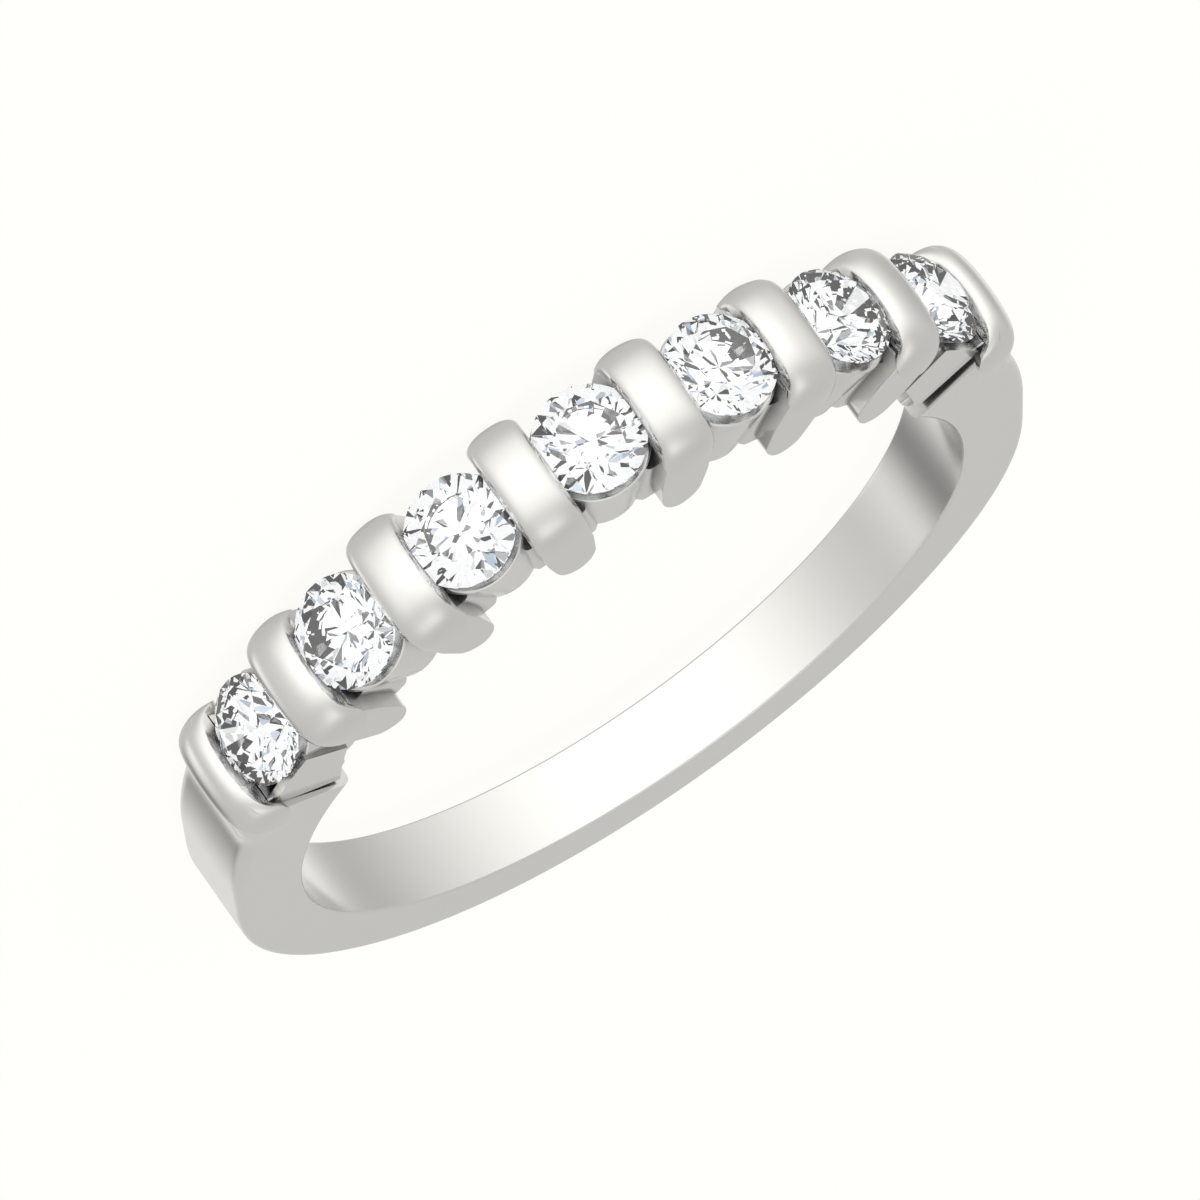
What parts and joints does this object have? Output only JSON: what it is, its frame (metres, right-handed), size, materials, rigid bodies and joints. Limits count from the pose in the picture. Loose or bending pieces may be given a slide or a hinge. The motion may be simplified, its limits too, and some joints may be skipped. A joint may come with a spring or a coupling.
{
  "type": "diamond ring",
  "caption": "Half-hoop finger ring in polished white gold, with a row of round brilliants held between domed crossbars.",
  "frame": {"origin": "middle of the finger hole, on its axis and halfway across the band", "axes": "+Z along the finger hole, -Y from the finger through the middle stone, +X across the finger towards stone_1"},
  "size_m": [0.02, 0.0217, 0.003],
  "materials": {
    "white_gold": "rhodium-plated white gold, polished",
    "diamond": "faceted and polished diamond"
  },
  "bodies": {
    "root": {"band": "white_gold", "stone_1": "diamond", "stone_2": "diamond", "stone_3": "diamond", "stone_4": "diamond", "stone_5": "diamond", "stone_6": "diamond", "stone_7": "diamond"}
  },
  "joints": []
}
